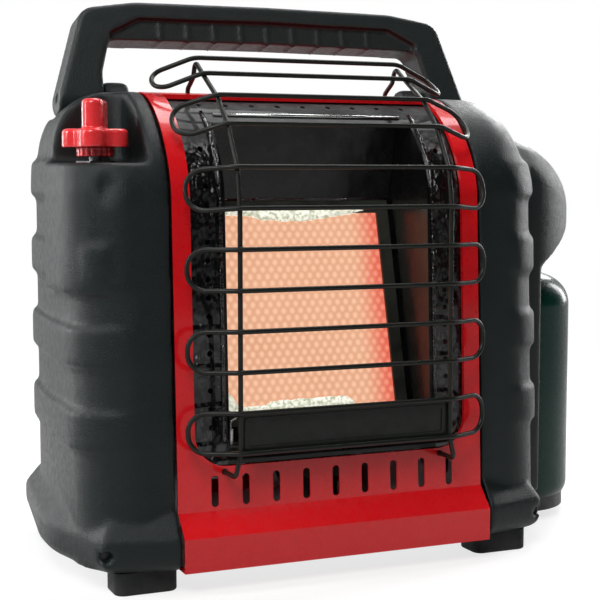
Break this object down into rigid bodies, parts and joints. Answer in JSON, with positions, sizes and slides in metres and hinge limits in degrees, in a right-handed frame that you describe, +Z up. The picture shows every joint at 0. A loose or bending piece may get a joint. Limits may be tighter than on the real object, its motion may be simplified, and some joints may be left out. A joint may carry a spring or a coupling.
{
  "type": "portable propane heater",
  "caption": "Portable radiant gas heater with a tiled burner behind a wire guard, folding handle, knob, and a screw-on gas cylinder on a swing-out regulator.",
  "frame": {"origin": "bottom centre of the whole heater's bounding box, on the floor", "axes": "+X to the heater's right as seen from the front, towards the cylinder; +Y to the back; +Z up"},
  "size_m": [0.4322, 0.2286, 0.3896],
  "materials": {
    "red_enamel": "gloss",
    "charcoal_plastic": "textured matte",
    "black_enamel": "gloss",
    "guard_wire": "satin",
    "zinc_steel": "galvanised",
    "ceramic": "porous ceramic, glowing in use",
    "fibre": "ceramic fibre",
    "brass": "machined",
    "pipe": "drawn",
    "plain_steel": "machined",
    "dark_screws": "black oxide",
    "red_plastic": "gloss",
    "green_paint": "gloss",
    "black_plastic": "satin",
    "rubber": "matte"
  },
  "bodies": {
    "case": {"front_case": "red_enamel", "rear_cover": "red_enamel", "left_housing": "charcoal_plastic", "right_housing": "charcoal_plastic", "enamel_surround": "black_enamel", "lower_tray": "black_enamel", "upper_reflector": "black_enamel", "hot_plate": "black_enamel", "wire_guard": "guard_wire", "chassis": "zinc_steel", "heat_shield": "zinc_steel", "base_plate": "zinc_steel", "tile_frame": "zinc_steel", "burner_box": "zinc_steel", "burner_brackets": "zinc_steel", "venturi_tube": "zinc_steel", "orifice_bracket": "zinc_steel", "pilot_bracket": "zinc_steel", "valve_bracket": "zinc_steel", "ceramic_tile": "ceramic", "tile_gasket": "fibre", "orifice": "brass", "gas_valve": "brass", "pilot_burner": "brass", "swivel_elbow": "brass", "bulkhead_nut": "brass", "gas_pipe": "pipe", "burner_pipe": "pipe", "pilot_pipe": "pipe", "stem_spring": "plain_steel", "bonnet_nut": "plain_steel", "handle_pins": "plain_steel", "thermocouple": "plain_steel", "spark_electrode": "plain_steel", "housing_screws": "dark_screws", "rear_screws": "dark_screws", "piezo_igniter": "black_plastic", "tip_over_switch": "black_plastic", "foot_front_left": "rubber", "foot_front_right": "rubber", "foot_rear_left": "rubber", "foot_rear_right": "rubber"},
    "handle": {"handle": "charcoal_plastic"},
    "plug": {"valve_plug": "brass"},
    "knob": {"knob": "red_plastic", "valve_stem": "plain_steel"},
    "regulator": {"regulator_body": "pipe", "regulator_diaphragm": "rubber", "regulator_cap": "black_plastic", "inlet_nut": "black_plastic", "inlet_seal": "rubber", "inlet_probe": "plain_steel"},
    "cylinder": {"cylinder_shell": "green_paint", "cylinder_foot": "black_plastic", "cylinder_collar": "green_paint", "valve_core": "brass", "relief_valve": "brass"}
  },
  "joints": [
    {"name": "handle_fold", "type": "hinge", "parent": "case", "child": "handle", "pos_m": [-0.03513, 0.0318, 0.32], "axis": [-1, 0, 0], "range_deg": [-12, 53]},
    {"name": "knob_turn", "type": "hinge", "parent": "case", "child": "plug", "pos_m": [-0.18463, -0.0407, 0.244], "axis": [0, 0, 1], "range_deg": [-270, 0]},
    {"name": "knob_push", "type": "slide", "parent": "plug", "child": "knob", "axis": [0, 0, -1], "range_m": [0, 0.0025], "stiffness_N_per_m": 800, "springref_m": -0.002, "deforming": ["stem_spring"]},
    {"name": "regulator_swing", "type": "hinge", "parent": "case", "child": "regulator", "pos_m": [0.16687, 0.0273, 0.246], "axis": [0, -1, 0], "range_deg": [0, 45]},
    {"name": "cylinder_turn", "type": "hinge", "parent": "regulator", "child": "cylinder", "pos_m": [0.16687, 0.0273, 0.2], "axis": [0, 0, -1], "range_deg": [0, 360]}
  ]
}
